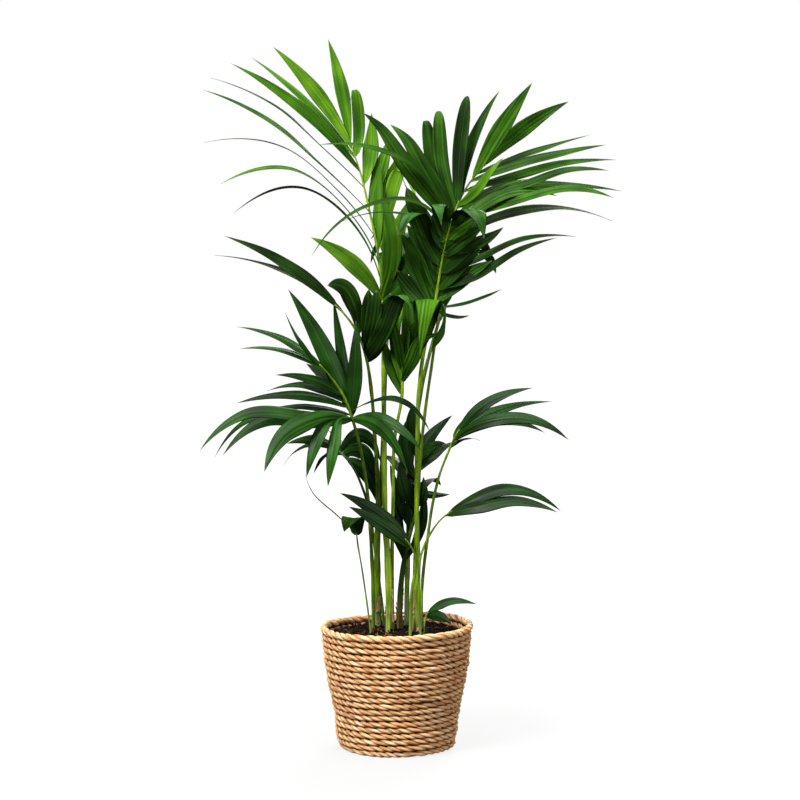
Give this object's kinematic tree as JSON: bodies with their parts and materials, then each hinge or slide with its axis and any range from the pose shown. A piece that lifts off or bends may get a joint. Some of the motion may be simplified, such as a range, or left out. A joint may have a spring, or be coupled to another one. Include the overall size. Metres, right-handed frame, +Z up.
{
  "type": "kentia palm in basket",
  "caption": "Tall potted palm: arching pinnate fronds on slender stalks rise from dark soil in a tapered basket of coiled twisted rope.",
  "frame": {"origin": "centre of the basket's underside, where it stands on the floor", "axes": "+Z up, +X to the right as the front is seen, -Y towards the viewer"},
  "size_m": [0.7098, 0.6209, 1.1979],
  "materials": {
    "rope": "twisted natural fibre rope, tan, matt with a slight silky sheen",
    "plastic": "thin black plastic liner, satin",
    "soil": "moist dark potting soil with crumbs and root fibres",
    "leaf_dark": "deep green palm leaf, waxy satin, with fine lengthwise veins",
    "leaf_light": "young bright green palm leaf, waxy satin, with fine lengthwise veins"
  },
  "bodies": {
    "root": {"basket": "rope", "rim_rope": "rope", "liner": "plastic", "soil": "soil", "frond_tall_left": "leaf_light", "frond_tall_right": "leaf_dark", "frond_front": "leaf_dark", "frond_mid_left": "leaf_dark", "frond_low_left": "leaf_dark", "frond_low_right": "leaf_dark", "frond_young": "leaf_light", "frond_shade_left": "leaf_dark", "frond_shade_right": "leaf_dark", "leaf_split_right": "leaf_dark", "leaf_split_left": "leaf_dark", "leaf_bent_left": "leaf_dark", "leaf_base_right": "leaf_dark", "frond_back_left": "leaf_dark", "frond_back_right": "leaf_dark"}
  },
  "joints": []
}
